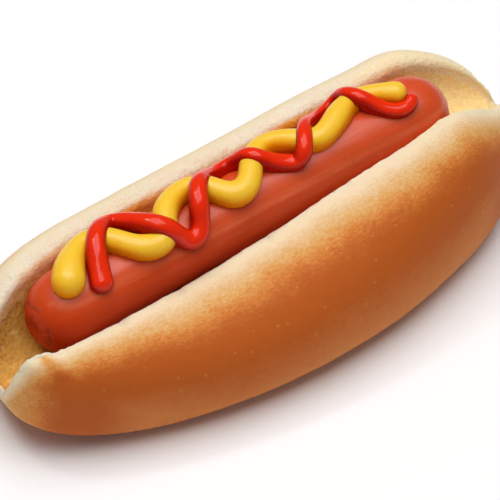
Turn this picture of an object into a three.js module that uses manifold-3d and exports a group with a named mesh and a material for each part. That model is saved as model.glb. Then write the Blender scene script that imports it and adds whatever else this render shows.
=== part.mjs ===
// Hot dog: a soft bun opened lengthwise, a frankfurter lying in it, and two beads of sauce on top.
// Millimetres. +X runs along the length, -Y is the domed front half, +Y the thinner back half, and
// +Z is up. The origin is under the middle of the bun, on the surface that it stands on.

import * as THREE from 'three';
import { NURBSCurve } from 'three/addons/curves/NURBSCurve.js';
import { mergeVertices } from 'three/addons/utils/BufferGeometryUtils.js';
import Module from 'manifold-3d';

const wasm = await Module();
wasm.setup();

// ---------------------------------------------------------------- driving dimensions

const GAP = 0.3; // between two pieces that rest on each other

// Frankfurter. Its middle lies a little off the bun's middle, towards -X and the back.
const SAUSAGE_LENGTH = 126;
const SAUSAGE_RADIUS = 10.25;
const SAUSAGE_X = -3.9;
const SAUSAGE_Y = 4.8;
const SAUSAGE_Z = 33;
const SAUSAGE_BOW = 0.8; // how far its middle is bent towards the back
const SAUSAGE_RISE = 2.3; // how much higher than its middle the +X end lies
const SAUSAGE_NOD = 1.2; // how far the -X end turns down
const DOME_LENGTH = 11; // how far each round end reaches back
const DOME_POWER = 2.2; // 2 is an ellipse, more is blunter
const PUCKER_DEPTH = 1.4; // the tied-off dimple in each end
const PUCKER_RADIUS = 2.6;

// Bun
const BUN_LENGTH = 158.5;
const BUN_WIDTH = 64.8;
const WIDEST_Z = 13.6; // height at which both halves are fullest
const BASE_FRONT = -16; // the flat underside runs between these two
const BASE_BACK = 19;
const BASE_FROM = -0.38; // and between these along it, in half lengths of the bun
const BASE_TO = 0.58;
const TIP_Y = [0, 2.8]; // where its -X and its +X end close
const TIP_Z = 17;
const CHANNEL_ROOM = 0.6; // between the frankfurter and the bread that holds it
const CHANNEL_FADE = 1.2; // how far before each tip the channel begins to close up

// The cut edge of each half: how far it lies from the frankfurter's middle, its height at the -X
// and the +X end, and how round it is. Its humps and dips follow: how high, where and how long.
const FRONT_LIP = { reach: 12.6, low: 31.2, high: 42, round: 1.4 };
const BACK_LIP = { reach: 15.4, low: 37, high: 41.2, round: 3 };
const FRONT_HUMPS = [
  { height: 3.2, place: -0.95, spread: 0.03 },
  { height: 3, place: -0.9, spread: 0.05 },
  { height: 1.9, place: 0.655, spread: 0.1 },
  { height: -3.6, place: 0.86, spread: 0.08 },
];
const BACK_HUMPS = [{ height: 1.8, place: 0.705, spread: 0.093 }];
const FRONT_CLIMB = { from: -0.45, to: 0.85 }; // where the front edge rises from low to high

// How long the bun stays full towards its -X and its +X end: 2 rounds off like an ellipse, and a
// higher power stays full for longer and then ends squarely.
const FULL = {
  frontWidth: [1.62, 1.88],
  backWidth: [8, 8],
  underside: [2.5, 3],
  belly: [2, 2],
  frontLipHeight: [14, 7],
  backLipHeight: [7, 6],
  lipReach: [7, 6],
  floor: [12, 12],
};

// How full its outline is across: 2 is a round corner, more is squarer.
const ROUND = 2;
const FRONT_SHOULDER = 2.1;
const LOW_CORNER = 2.3;
const BACK_WALL = 2.3;
const FRONT_WALL = 2.9;

// Mustard and ketchup: radius of each bead, how many times wider than high it is, and how far its
// middle lies above the frankfurter's skin
const MUSTARD_RADIUS = 3.1;
const MUSTARD_SPREAD = 1;
const MUSTARD_HEIGHT = 1.9;
const KETCHUP_RADIUS = 1.85;
const KETCHUP_SPREAD = 1.15;
const KETCHUP_HEIGHT = 1;

// Where each bead goes: along the frankfurter from its middle in mm, degrees round it towards the
// front, how far the bead is lifted off its usual height, and its radius as a share of the usual one.
const MUSTARD_ROUTE = [
  [-54.8, 26, -0.2, 1.4], [-52, 0, 0, 1.4], [-47.5, -20, 0, 1.1], [-42.5, -30, 0.6, 0.95],
  [-38.5, -19, 0.4, 1], [-36, 1, 0, 0.95], [-33.5, 17, 0, 1], [-30.5, 26, 0, 1.05],
  [-27, 28, 0, 1], [-25, 18, 0, 1.08], [-23.1, 2, 0, 1.1], [-20.9, -9, 0, 1.07],
  [-17.2, -20, 0.2, 0.97], [-12, -23, 0.4, 0.85], [-9.3, -12, 0.4, 0.95], [-8, 0, 0, 1],
  [-5.5, 18, 0, 1.05], [-2, 23, 0, 1.1], [1.5, 13, 0, 1.05], [4, -3, 0, 1],
  [7.5, -20, 0, 0.95], [11.5, -28, 0, 0.9], [15, -19, 0, 0.95], [18, -5, 0, 0.95],
  [20.5, 5, 0, 1], [23.5, 10, 0, 1], [27, 5, 0, 1.05], [32, -8, 0, 1.05],
  [36.5, -20, 0, 0.9], [41, -18, 0.1, 0.8], [45.5, -6, -0.2, 0.9], [50.3, 11, -0.2, 1.07],
];

const KETCHUP_ROUTE = [
  [-46.5, 44, 0, 1.5], [-45, 20, 0.2, 1.35], [-43.5, 2, 2.5, 1.25], [-41.5, -10, 4.3, 1.2],
  [-38, -24, 4, 1.15], [-34.5, -34, 2.5, 1.1], [-32, -26, 2.2, 1.1], [-30.2, -9, 2.7, 1.15],
  [-28, 7, 4, 1.2], [-25.5, 17, 4, 1.2], [-23.6, 26, 2.2, 1.2], [-21.3, 39, 0, 1.25],
  [-19, 45, 0, 1.25], [-16.5, 36, 0, 1.25], [-15.4, 23, 1.5, 1.3], [-14.6, 12, 4.1, 1.2],
  [-11.8, -4, 4.4, 1.15], [-8.3, -17, 2.8, 0.95], [-3.5, -32, 0.4, 0.85], [0.5, -36, 0.2, 0.85],
  [3, -26, 1.2, 0.9], [4.5, -12, 3.4, 1], [6, -2, 3.4, 1.05], [8.7, 4, 1, 1.1],
  [12, 14, 0, 1.05], [15.2, 23, 0.2, 1.05], [16.8, 19, 3.4, 1.05], [19, 5, 4.2, 1],
  [22.5, -14, 2.9, 0.9], [27, -32, 0.3, 0.75], [31, -42, 0.2, 0.7], [34.5, -44, 1, 0.75],
  [36.8, -36, 2.6, 0.8], [37, -22, 3.6, 0.9], [38, -8, 3.7, 1], [41, 3, 1, 1],
  [43.5, 18, 0, 0.95], [46.5, 27, 0, 0.95], [49.6, 26, 0, 0.95], [51.8, 15, 0, 0.85],
];

// ---------------------------------------------------------------- helpers

const clamp01 = (v) => Math.min(1, Math.max(0, v));
const mix = (a, b, t) => a + (b - a) * t;
const ease = (t) => t * t * (3 - 2 * t);

// How full something is along the bun: 1 in the middle, where t is 0, and 0 at both tips, -1 and 1.
const fullness = (t, [low, high]) => Math.sqrt(1 - clamp01(Math.abs(t) ** (t < 0 ? low : high)));

// Where the rings of a long round-ended shape lie along it, closer together over its ends.
function ringPlaces(length, roundLength, endRings, bodyRings) {
  const firstTurn = 0.05; // of a quarter turn from the very tip
  const ends = [];
  for (let i = 0; i < endRings; i += 1) {
    const turn = (Math.PI / 2) * mix(firstTurn, 1, i / endRings);
    ends.push(roundLength * (1 - Math.cos(turn)));
  }
  const body = [];
  for (let i = 0; i <= bodyRings; i += 1) {
    body.push(mix(roundLength, length - roundLength, i / bodyRings));
  }
  return [...ends, ...body, ...ends.map((place) => length - place).reverse()];
}

// A capped cylinder whose points are placed by a rule. ring counts from -X to +X, side counts round
// the section from +Y over +Z, and rim is 0 only in the middle of an end cap.
function formed(sides, rings, place) {
  const cylinder = new THREE.CylinderGeometry(1, 1, 1, sides, rings - 1);
  cylinder.deleteAttribute('normal');
  cylinder.deleteAttribute('uv');
  const geometry = mergeVertices(cylinder, 1e-4);
  const points = geometry.getAttribute('position');
  for (let i = 0; i < points.count; i += 1) {
    const rim = Math.round(Math.hypot(points.getX(i), points.getZ(i)));
    const turns = Math.atan2(points.getX(i), points.getZ(i)) / (2 * Math.PI);
    const side = Math.round((turns + 1) * sides) % sides;
    const ring = Math.round((points.getY(i) + 0.5) * (rings - 1));
    const p = place(ring, side, rim);
    points.setXYZ(i, p.x, p.y, p.z);
  }
  return geometry;
}

// ---------------------------------------------------------------- frankfurter

const SAUSAGE_SIDES = 28;
const DOME_RINGS = 8;
const BODY_RINGS = 14;
const HALF_SAUSAGE = SAUSAGE_LENGTH / 2;

// The frankfurter's axis at a distance along it from its middle.
function sausageAxis(along) {
  const t = Math.max(-1, Math.min(1, along / HALF_SAUSAGE));
  const nod = SAUSAGE_NOD * Math.max(0, -t) ** 3;
  return new THREE.Vector3(
    SAUSAGE_X + along,
    SAUSAGE_Y + SAUSAGE_BOW * (0.5 - t * t),
    SAUSAGE_Z + SAUSAGE_RISE * t - nod,
  );
}

function sausageRadius(along) {
  const rise = clamp01((HALF_SAUSAGE - Math.abs(along)) / DOME_LENGTH);
  return SAUSAGE_RADIUS * (1 - (1 - rise) ** DOME_POWER) ** (1 / DOME_POWER);
}

// The frankfurter; grown makes it that much thicker all over.
function makeSausage(grown = 0) {
  const places = ringPlaces(SAUSAGE_LENGTH, DOME_LENGTH, DOME_RINGS, BODY_RINGS);
  return formed(SAUSAGE_SIDES, places.length, (ring, side, rim) => {
    const along = places[ring] - HALF_SAUSAGE;
    const centre = sausageAxis(along);
    const radius = (sausageRadius(along) + grown) * rim;
    const angle = (2 * Math.PI * side) / SAUSAGE_SIDES;
    const nearTip = clamp01((Math.abs(along) - HALF_SAUSAGE) / PUCKER_DEPTH + 1);
    const dimple = PUCKER_DEPTH * nearTip * Math.exp(-((radius / PUCKER_RADIUS) ** 2));
    return new THREE.Vector3(
      centre.x - Math.sign(along) * (dimple - grown),
      centre.y + radius * Math.cos(angle),
      centre.z + radius * Math.sin(angle),
    );
  });
}

// ---------------------------------------------------------------- bun

const BUN_RINGS = 37;
const HALF_BUN = BUN_LENGTH / 2;

// A stretch of superellipse between two turns, counted in quarter turns from +Y over +Z. Its last
// point is left to the stretch that follows.
function arc(cy, cz, ry, rz, power, from, to, steps) {
  const points = [];
  for (let i = 0; i < steps; i += 1) {
    const turn = (Math.PI / 2) * mix(from, to, i / steps);
    const c = Math.cos(turn);
    const s = Math.sin(turn);
    points.push([
      cy + ry * Math.sign(c) * Math.abs(c) ** (2 / power),
      cz + rz * Math.sign(s) * Math.abs(s) ** (2 / power),
    ]);
  }
  return points;
}

const humpAt = (t, { height, place, spread }) => height * Math.exp(-(((t - place) / spread) ** 2));
const humpsAt = (t, humps) => humps.reduce((sum, hump) => sum + humpAt(t, hump), 0);
const tipY = (t) => TIP_Y[t < 0 ? 0 : 1];

// The bun's closed outline across its length, as [y, z] points: over the back half, down into the
// channel, over the front half and back along the underside.
function bunSection(x) {
  const t = x / HALF_BUN;
  const cradle = sausageAxis(x - SAUSAGE_X);
  const lipReach = fullness(t, FULL.lipReach);
  const belly = fullness(t, FULL.belly);
  const rocker = clamp01(t < 0 ? (t - BASE_FROM) / (-1 - BASE_FROM) : (t - BASE_TO) / (1 - BASE_TO));
  const climb = ease(clamp01((t - FRONT_CLIMB.from) / (FRONT_CLIMB.to - FRONT_CLIMB.from)));
  const open = ease(clamp01(((1 - Math.abs(t)) * HALF_BUN) / CHANNEL_FADE));
  const end = tipY(t);

  const front = mix(end, -BUN_WIDTH / 2, fullness(t, FULL.frontWidth));
  const back = mix(end, BUN_WIDTH / 2, fullness(t, FULL.backWidth));
  const base = mix(TIP_Z, 0, fullness(Math.sign(t) * rocker, FULL.underside));
  const widest = mix(TIP_Z, WIDEST_Z, belly);
  const baseFront = mix(end, BASE_FRONT, belly);
  const baseBack = mix(end, BASE_BACK, belly);

  const frontY = mix(end, SAUSAGE_Y - FRONT_LIP.reach, lipReach);
  const frontHeight = mix(FRONT_LIP.low, FRONT_LIP.high, climb) + humpsAt(t, FRONT_HUMPS);
  const frontZ = mix(TIP_Z, frontHeight, fullness(t, FULL.frontLipHeight));
  const frontRound = FRONT_LIP.round * lipReach * open;
  const backY = mix(end, SAUSAGE_Y + BACK_LIP.reach, lipReach);
  const backHeight = mix(BACK_LIP.low, BACK_LIP.high, (t + 1) / 2) + humpsAt(t, BACK_HUMPS);
  const backZ = mix(TIP_Z, backHeight, fullness(t, FULL.backLipHeight));
  const backRound = BACK_LIP.round * lipReach * open;

  const floorReach = fullness(t, FULL.floor);
  const middle = mix(end, cradle.y, floorReach);
  const backTop = backZ - backRound;
  const frontTop = frontZ - frontRound;
  const bed = mix(TIP_Z, cradle.z - SAUSAGE_RADIUS - CHANNEL_ROOM, floorReach);
  const floor = mix(Math.max(backTop, frontTop), bed, open);
  return [
    ...arc(backY, widest, back - backY, backZ - widest, ROUND, 0, 1, 8),
    ...arc(backY, backTop, backRound, backRound, ROUND, 1, 2, 4),
    ...arc(middle, backTop, backY - backRound - middle, backTop - floor, BACK_WALL, 0, -1, 6),
    ...arc(middle, frontTop, middle - frontY - frontRound, frontTop - floor, FRONT_WALL, -1, -2, 6),
    ...arc(frontY, frontTop, frontRound, frontRound, ROUND, 0, 1, 3),
    ...arc(frontY, widest, frontY - front, frontZ - widest, FRONT_SHOULDER, 1, 2, 9),
    ...arc(baseFront, widest, baseFront - front, widest - base, LOW_CORNER, 2, 3, 6),
    [baseFront, base],
    ...arc(baseBack, widest, back - baseBack, widest - base, LOW_CORNER, 3, 4, 7),
  ];
}

// Rings crowd towards both tips, and the last ones stop just short of them. The middle of each end
// lies low in the bread, from where the whole outline is in sight.
function makeBun() {
  const crowding = 0.75;
  const shortOfTip = 0.998;
  const sections = [];
  for (let i = 0; i < BUN_RINGS; i += 1) {
    const even = mix(-1, 1, i / (BUN_RINGS - 1));
    const crowded = Math.sin((Math.PI / 2) * even);
    const x = HALF_BUN * mix(even, crowded, crowding) * shortOfTip;
    const points = bunSection(x);
    const lowest = Math.min(...points.map(([, z]) => z));
    sections.push({ points, x, middle: [tipY(x), (lowest + TIP_Z) / 2] });
  }
  const sides = sections[0].points.length;
  return formed(sides, BUN_RINGS, (ring, side, rim) => {
    const { points, x, middle } = sections[ring];
    const [y, z] = rim === 0 ? middle : points[side];
    return new THREE.Vector3(x, y, z);
  });
}

// ---------------------------------------------------------------- sauce

const MUSTARD = {
  route: MUSTARD_ROUTE,
  radius: MUSTARD_RADIUS,
  spread: MUSTARD_SPREAD,
  height: MUSTARD_HEIGHT,
  rings: 86,
};
const KETCHUP = {
  route: KETCHUP_ROUTE,
  radius: KETCHUP_RADIUS,
  spread: KETCHUP_SPREAD,
  height: KETCHUP_HEIGHT,
  rings: 116,
};
const BEAD_SIDES = 10;
const BEAD_END_RINGS = 4;

function beadPoint([along, degrees, lift], height) {
  const turn = (degrees * Math.PI) / 180;
  const centre = sausageAxis(along);
  const reach = SAUSAGE_RADIUS + height + lift;
  return new THREE.Vector3(centre.x, centre.y - reach * Math.sin(turn), centre.z + reach * Math.cos(turn));
}

// A smooth line drawn along the stops, starting and ending on the first and last of them.
function beadLine({ route, height }) {
  const degree = 3;
  const spans = route.length - degree;
  const knots = route.map((stop, i) => Math.max(0, i - degree) / spans);
  knots.push(...new Array(degree + 1).fill(1));
  return new NURBSCurve(degree, knots, route.map((stop) => beadPoint(stop, height)));
}

// A bead of sauce with round ends; grown makes it that much thicker all over.
function makeBead(bead, grown = 0) {
  const { route, radius, spread, rings } = bead;
  const line = beadLine(bead);
  const total = line.getLength();
  const places = ringPlaces(total, radius, BEAD_END_RINGS, rings);
  return formed(BEAD_SIDES, places.length, (ring, side, rim) => {
    const u = places[ring] / total;
    const passed = line.getUtoTmapping(u) * (route.length - 1);
    const stop = Math.min(route.length - 2, Math.floor(passed));
    const share = mix(route[stop][3], route[stop + 1][3], passed - stop);
    const fromEnd = clamp01(Math.min(places[ring], total - places[ring]) / (radius * share));
    const roundEnd = Math.sqrt(1 - (1 - fromEnd) ** 2);
    const pastEnd = grown * (1 - fromEnd) * Math.sign(u - 0.5);
    const angle = (2 * Math.PI * side) / BEAD_SIDES;
    const reach = radius * share * roundEnd;

    const point = line.getPointAt(u);
    const ahead = line.getTangentAt(u);
    const axis = sausageAxis(point.x - SAUSAGE_X);
    const outward = new THREE.Vector3(0, point.y - axis.y, point.z - axis.z);
    const across = outward.cross(ahead).normalize();
    const upright = ahead.clone().cross(across);
    return point
      .addScaledVector(ahead, pastEnd)
      .addScaledVector(across, (reach * spread + grown) * rim * Math.cos(angle))
      .addScaledVector(upright, (reach + grown) * rim * Math.sin(angle));
  });
}

// ---------------------------------------------------------------- cutting one piece by another

function toSolid(geometry) {
  const mesh = new wasm.Mesh({
    numProp: 3,
    vertProperties: new Float32Array(geometry.getAttribute('position').array),
    triVerts: new Uint32Array(geometry.index.array),
  });
  return new wasm.Manifold(mesh);
}

function toGeometry(solid) {
  const mesh = solid.getMesh();
  const geometry = new THREE.BufferGeometry();
  geometry.setAttribute('position', new THREE.BufferAttribute(mesh.vertProperties, 3));
  geometry.setIndex(new THREE.BufferAttribute(mesh.triVerts, 1));
  return geometry;
}

// The mustard is moulded by the frankfurter under it, and the ketchup by both.
function makeSauces() {
  const underMustard = toSolid(makeSausage(GAP));
  const underKetchup = toSolid(makeBead(MUSTARD, GAP)).add(underMustard);
  return {
    mustard: toGeometry(toSolid(makeBead(MUSTARD)).subtract(underMustard)),
    ketchup: toGeometry(toSolid(makeBead(KETCHUP)).subtract(underKetchup)),
  };
}

// ---------------------------------------------------------------- the hot dog

const FINISH = {
  bun: { color: 0xb8703a, roughness: 0.75, metalness: 0 },
  sausage: { color: 0xa84020, roughness: 0.35, metalness: 0 },
  mustard: { color: 0xe3b02c, roughness: 0.3, metalness: 0 },
  ketchup: { color: 0xc41e08, roughness: 0.2, metalness: 0 },
};

function piece(name, geometry) {
  const mesh = new THREE.Mesh(geometry, new THREE.MeshStandardMaterial(FINISH[name]));
  mesh.name = name;
  return mesh;
}

const sauces = makeSauces();

const hotDog = new THREE.Group();
hotDog.add(piece('bun', makeBun()));
hotDog.add(piece('sausage', makeSausage()));
hotDog.add(piece('mustard', sauces.mustard));
hotDog.add(piece('ketchup', sauces.ketchup));

export default hotDog;
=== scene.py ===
import bisect
import math
from functools import partial, reduce

import bmesh
import bpy
from bpy.props import FloatProperty, FloatVectorProperty, PointerProperty
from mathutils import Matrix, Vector, noise
from mathutils.bvhtree import BVHTree


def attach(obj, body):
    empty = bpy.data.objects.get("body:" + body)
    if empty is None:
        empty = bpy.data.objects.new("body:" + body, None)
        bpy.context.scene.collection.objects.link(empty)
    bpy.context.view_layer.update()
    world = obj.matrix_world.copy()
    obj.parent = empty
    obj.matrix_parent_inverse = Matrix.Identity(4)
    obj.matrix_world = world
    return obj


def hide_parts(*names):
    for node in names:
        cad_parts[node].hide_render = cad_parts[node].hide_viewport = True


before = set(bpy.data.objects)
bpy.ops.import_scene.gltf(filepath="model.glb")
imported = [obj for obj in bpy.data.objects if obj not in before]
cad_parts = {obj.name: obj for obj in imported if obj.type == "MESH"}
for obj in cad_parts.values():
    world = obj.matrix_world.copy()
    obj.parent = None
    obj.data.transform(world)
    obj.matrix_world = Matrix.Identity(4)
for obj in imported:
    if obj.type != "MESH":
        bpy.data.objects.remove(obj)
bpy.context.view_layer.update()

bl_info = {
    "name": "Hot dog",
    "version": (1, 0, 0),
    "blender": (4, 5, 0),
    "location": "3D View > Sidebar > Hot dog",
    "description": "Builds a hot dog: a split bun, a frankfurter, mustard and ketchup",
    "category": "Object",
}

MM = 0.001

# ---------------------------- shared shape rules


def clamp01(value):
    return min(1.0, max(0.0, value))


def mix(a, b, share):
    return a + (b - a) * share


def ease(value):
    value = clamp01(value)
    return value * value * (3 - 2 * value)


def bump_at(value, place, spread):
    """A smooth hump, 1 at place and fading over spread on both sides."""
    return math.exp(-(((value - place) / spread) ** 2))


def rough(point, size, seed=0.0):
    """Smooth unevenness from about -1 to 1, with humps about size across."""
    return noise.noise(point / size + Vector((seed, seed * 1.7, -seed)))


def linear(red, green, blue):
    """A colour given as the eye sees it, 0 to 255, as the shaders take it."""
    shares = (part / 255 for part in (red, green, blue))
    return tuple(part / 12.92 if part <= 0.04045 else ((part + 0.055) / 1.055) ** 2.4 for part in shares)


def ring_places(length, round_length, end_rings, body_rings):
    """Where the rings of a round-ended shape lie along it, closer together over its ends."""
    ends = []
    for i in range(end_rings):
        turn = math.pi / 2 * mix(0.02, 1, i / end_rings)
        ends.append(round_length * (1 - math.cos(turn)))
    body = [mix(round_length, length - round_length, i / body_rings) for i in range(body_rings + 1)]
    return ends + body + [length - place for place in reversed(ends)]


def formed(sides, rings, place, layers=()):
    """A closed tube whose points are placed by a rule from their ring, side and rim.

    Rings count from one end to the other, sides count round, and rim is 0 only for the
    middle of each end. Returns the bmesh and a dict from each point to (ring, side, rim).
    layers names the numbers that each point will carry.
    """
    bm = bmesh.new()
    for layer in layers:
        bm.verts.layers.float.new(layer)
    bmesh.ops.create_cone(
        bm, cap_ends=True, cap_tris=False, segments=sides, radius1=1, radius2=1, depth=2
    )
    walls = [e for e in bm.edges if abs(e.verts[0].co.z - e.verts[1].co.z) > 1]
    bmesh.ops.subdivide_edges(bm, edges=walls, cuts=rings - 2, use_grid_fill=True)
    bmesh.ops.poke(bm, faces=[f for f in bm.faces if len(f.verts) > 4])
    where = {}
    for vert in bm.verts:
        rim = round(math.hypot(vert.co.x, vert.co.y))
        side = round(math.atan2(vert.co.y, vert.co.x) / math.tau * sides) % sides
        ring = round((vert.co.z + 1) / 2 * (rings - 1))
        where[vert] = (ring, side, rim)
    for vert, spot in where.items():
        vert.co = place(*spot)
    bm.normal_update()
    bmesh.ops.recalc_face_normals(bm, faces=bm.faces)
    bm.normal_update()
    return bm, where


def to_object(name, data):
    """Puts a mesh, a light or a camera into the scene."""
    made = bpy.data.objects.new(name, data)
    bpy.context.scene.collection.objects.link(made)
    return made


def to_mesh_object(bm, name, material):
    """Puts a finished mesh into the scene."""
    mesh = bpy.data.meshes.new(name)
    bm.to_mesh(mesh)
    bm.free()
    mesh.materials.append(material)
    return to_object(name, mesh)


def to_piece(bm, name, material, node):
    """Makes a finished mesh into a piece that stands for its CAD node."""
    piece = to_mesh_object(bm, name, material)
    piece.data.shade_smooth()
    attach(piece, "root")
    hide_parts(node)
    return piece


# ---------------------------- settings

ColourProperty = partial(FloatVectorProperty, subtype="COLOR", size=3, min=0, max=1)
LengthProperty = partial(FloatProperty, unit="LENGTH", min=0)


class FrankfurterSettings(bpy.types.PropertyGroup):
    """Sizes and colours of the frankfurter"""

    length: LengthProperty(name="Length", description="From end to end", default=126 * MM, min=40 * MM)
    radius: LengthProperty(name="Radius", description="Half its thickness", default=10.25 * MM, min=4 * MM)
    bow: LengthProperty(
        name="Bow", description="How far its middle is bent back", default=0.8 * MM, min=-20 * MM
    )
    wrinkles: LengthProperty(
        name="Wrinkles", description="Depth of the folds in its tied ends", default=0.35 * MM
    )
    skin: ColourProperty(name="Skin", description="Colour of most of its skin", default=linear(199, 71, 15))
    # The side colour is painted shade: the skin is darker low down its sides, where less light reaches.
    side: ColourProperty(name="Side", description="Colour low down its sides", default=linear(186, 50, 6))
    flush: ColourProperty(
        name="Flush", description="Colour of the redder patches", default=linear(212, 72, 24)
    )


class BunSettings(bpy.types.PropertyGroup):
    """Sizes and colours of the bun"""

    length: LengthProperty(name="Length", description="From tip to tip", default=158.5 * MM, min=60 * MM)
    width: LengthProperty(name="Width", description="Across both halves", default=64.8 * MM, min=30 * MM)
    torn_edge: LengthProperty(
        name="Torn edge", description="How far the cut edges stray from a clean line", default=0.42 * MM
    )
    crumb_relief: LengthProperty(
        name="Crumb relief", description="How uneven the open crumb is", default=0.16 * MM
    )
    crumb: ColourProperty(
        name="Crumb", description="Colour deep in the open crumb", default=linear(216, 164, 82)
    )
    pale_crumb: ColourProperty(
        name="Pale crumb", description="Colour of the crumb at the higher end",
        default=linear(250, 218, 150),
    )
    golden_crumb: ColourProperty(
        name="Golden crumb", description="Colour of the crumb between the cream rim and the deep crumb",
        default=linear(255, 224, 158),
    )
    # The stain colour is painted shade and orange light bounced off the frankfurter, partly a juice stain.
    stain: ColourProperty(
        name="Stain", description="Colour of the crumb soaked by the frankfurter",
        default=linear(252, 168, 8),
    )
    cream: ColourProperty(
        name="Cream", description="Colour of the crumb near the cut edges", default=linear(237, 223, 199)
    )
    edge: ColourProperty(
        name="Edge", description="Colour of the crust at the cut edges", default=linear(233, 213, 178)
    )
    golden: ColourProperty(
        name="Golden crust", description="Colour where the crust begins to brown",
        default=linear(220, 165, 96),
    )
    amber: ColourProperty(
        name="Amber crust", description="Colour between golden and brown", default=linear(214, 132, 61)
    )
    brown: ColourProperty(
        name="Brown crust", description="Colour of the crust at its darkest", default=linear(188, 93, 32)
    )
    underside: ColourProperty(
        name="Underside", description="Colour of the crust that it stands on", default=linear(210, 126, 62)
    )


class SauceSettings(bpy.types.PropertyGroup):
    """Sizes and colours of both sauces"""

    mustard_radius: LengthProperty(
        name="Mustard radius", description="Half the thickness of the mustard bead",
        default=3.1 * MM, min=1 * MM,
    )
    ketchup_radius: LengthProperty(
        name="Ketchup radius", description="Half the thickness of the ketchup bead",
        default=1.85 * MM, min=0.5 * MM,
    )
    ketchup_spread: FloatProperty(
        name="Ketchup spread", description="How many times wider than high the ketchup bead is",
        default=1.15, min=0.5,
    )
    # The mustard and its foot colour are lit and shaded copies of one paste: the foot is painted shade down
    # its sides.
    mustard: ColourProperty(
        name="Mustard", description="Colour of the mustard on top", default=linear(243, 194, 46)
    )
    mustard_shaded_foot: ColourProperty(
        name="Mustard foot", description="Colour of the mustard down its sides", default=linear(234, 136, 0)
    )
    # The ketchup and its foot colour are lit and shaded copies of one sauce: the foot is painted shade down
    # its sides.
    ketchup: ColourProperty(
        name="Ketchup", description="Colour of the ketchup on top", default=linear(228, 42, 2)
    )
    ketchup_shaded_foot: ColourProperty(
        name="Ketchup foot", description="Colour of the ketchup down its sides", default=linear(172, 16, 1)
    )


class StageSettings(bpy.types.PropertyGroup):
    """The floor, the light and the camera"""

    floor: ColourProperty(name="Floor", description="Colour of the floor", default=(0.93, 0.93, 0.93))
    softbox: FloatProperty(
        name="Softbox", description="Power of the light overhead", default=11.9, min=0, unit="POWER"
    )
    spark: FloatProperty(
        name="Spark", description="Power of the small lamp that gives sharp lights",
        default=1.0, min=0, unit="POWER",
    )
    fill: FloatProperty(
        name="Fill", description="Strength of the light from all round", default=0.18, min=0
    )
    distance: LengthProperty(
        name="Camera distance", description="From the camera to the hot dog", default=1, min=0.3
    )


# ---------------------------- materials


def add(tree, kind, inputs=None, **settings):
    """Adds a node; each of its inputs gets a plain value or another node's output."""
    made = tree.nodes.new(kind)
    for name, value in settings.items():
        setattr(made, name, value)
    for socket, value in (inputs or {}).items():
        if isinstance(value, bpy.types.NodeSocket):
            tree.links.new(value, made.inputs[socket])
        else:
            made.inputs[socket].default_value = value
    return made


def maths(tree, operation, first, second=0.0):
    """One step of arithmetic on values, each a number or another node's output."""
    return add(tree, "ShaderNodeMath", {0: first, 1: second}, operation=operation).outputs[0]


def plus(tree, *values):
    """The sum of any number of values."""
    return reduce(lambda one, other: maths(tree, "ADD", one, other), values)


def times(tree, *values):
    """The product of any number of values."""
    return reduce(lambda one, other: maths(tree, "MULTIPLY", one, other), values)


def faded(tree, value, start, end, low=0.0, high=1.0):
    """Value turned smoothly from low to high while it goes from start to end."""
    sockets = {"Value": value, "From Min": start, "From Max": end, "To Min": low, "To Max": high}
    return add(tree, "ShaderNodeMapRange", sockets, interpolation_type="SMOOTHSTEP").outputs[0]


def blend(tree, share, first, second):
    """Two colours mixed by a share, each a colour or another node's output."""
    sockets = {0: share}
    for socket, value in ((6, first), (7, second)):
        sockets[socket] = value if isinstance(value, bpy.types.NodeSocket) else (*value, 1)
    return add(tree, "ShaderNodeMix", sockets, data_type="RGBA").outputs[2]


def between(first, second, share=0.5):
    """A plain colour between two others."""
    return tuple(mix(a, b, share) for a, b in zip(first, second))


def ramp(tree, value, stops):
    """A run of colours along a value, from (place, colour) stops."""
    made = add(tree, "ShaderNodeValToRGB", {"Fac": value})
    band = made.color_ramp
    while len(band.elements) < len(stops):
        band.elements.new(0.5)
    for element, (place, colour) in zip(band.elements, stops):
        element.position = place
        element.color = (*colour, 1)
    return made.outputs["Color"]


def new_group(name, inputs, outputs):
    """A node group and the sockets of its two end nodes. An input without a default is a vector."""
    group = bpy.data.node_groups.new(name, "ShaderNodeTree")
    for socket, default in inputs.items():
        kind = "NodeSocketVector" if default is None else "NodeSocketFloat"
        made = group.interface.new_socket(name=socket, in_out="INPUT", socket_type=kind)
        if default is not None:
            made.default_value = default
    for socket in outputs:
        group.interface.new_socket(name=socket, in_out="OUTPUT", socket_type="NodeSocketFloat")
    return group, group.nodes.new("NodeGroupInput").outputs, group.nodes.new("NodeGroupOutput").inputs


def mottle_group():
    """Soft uneven patches round 0, up to Amount either way."""
    if "mottle" in bpy.data.node_groups:
        return bpy.data.node_groups["mottle"]
    group, given, result = new_group("mottle", {"Vector": None, "Scale": 100.0, "Amount": 1.0}, ["Value"])
    patches = add(
        group, "ShaderNodeTexNoise",
        {"Vector": given["Vector"], "Scale": given["Scale"], "Detail": 3.0, "Roughness": 0.55},
    ).outputs[0]
    centred = maths(group, "SUBTRACT", patches, 0.5)
    group.links.new(times(group, centred, 4.0, given["Amount"]), result["Value"])
    return group


def speck_group():
    """Scattered round specks: Size is their share of a cell, and Share is how many cells have one."""
    if "specks" in bpy.data.node_groups:
        return bpy.data.node_groups["specks"]
    group, given, result = new_group(
        "specks", {"Vector": None, "Scale": 500.0, "Size": 0.2, "Share": 0.3}, ["Mask"]
    )
    cells = add(group, "ShaderNodeTexVoronoi", {"Vector": given["Vector"], "Scale": given["Scale"]})
    dot = faded(group, cells.outputs["Distance"], given["Size"], times(group, given["Size"], 0.4))
    lot = add(group, "ShaderNodeSeparateColor", {"Color": cells.outputs["Color"]}).outputs[0]
    chosen = maths(group, "LESS_THAN", lot, given["Share"])
    group.links.new(times(group, dot, chosen), result["Mask"])
    return group


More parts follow.
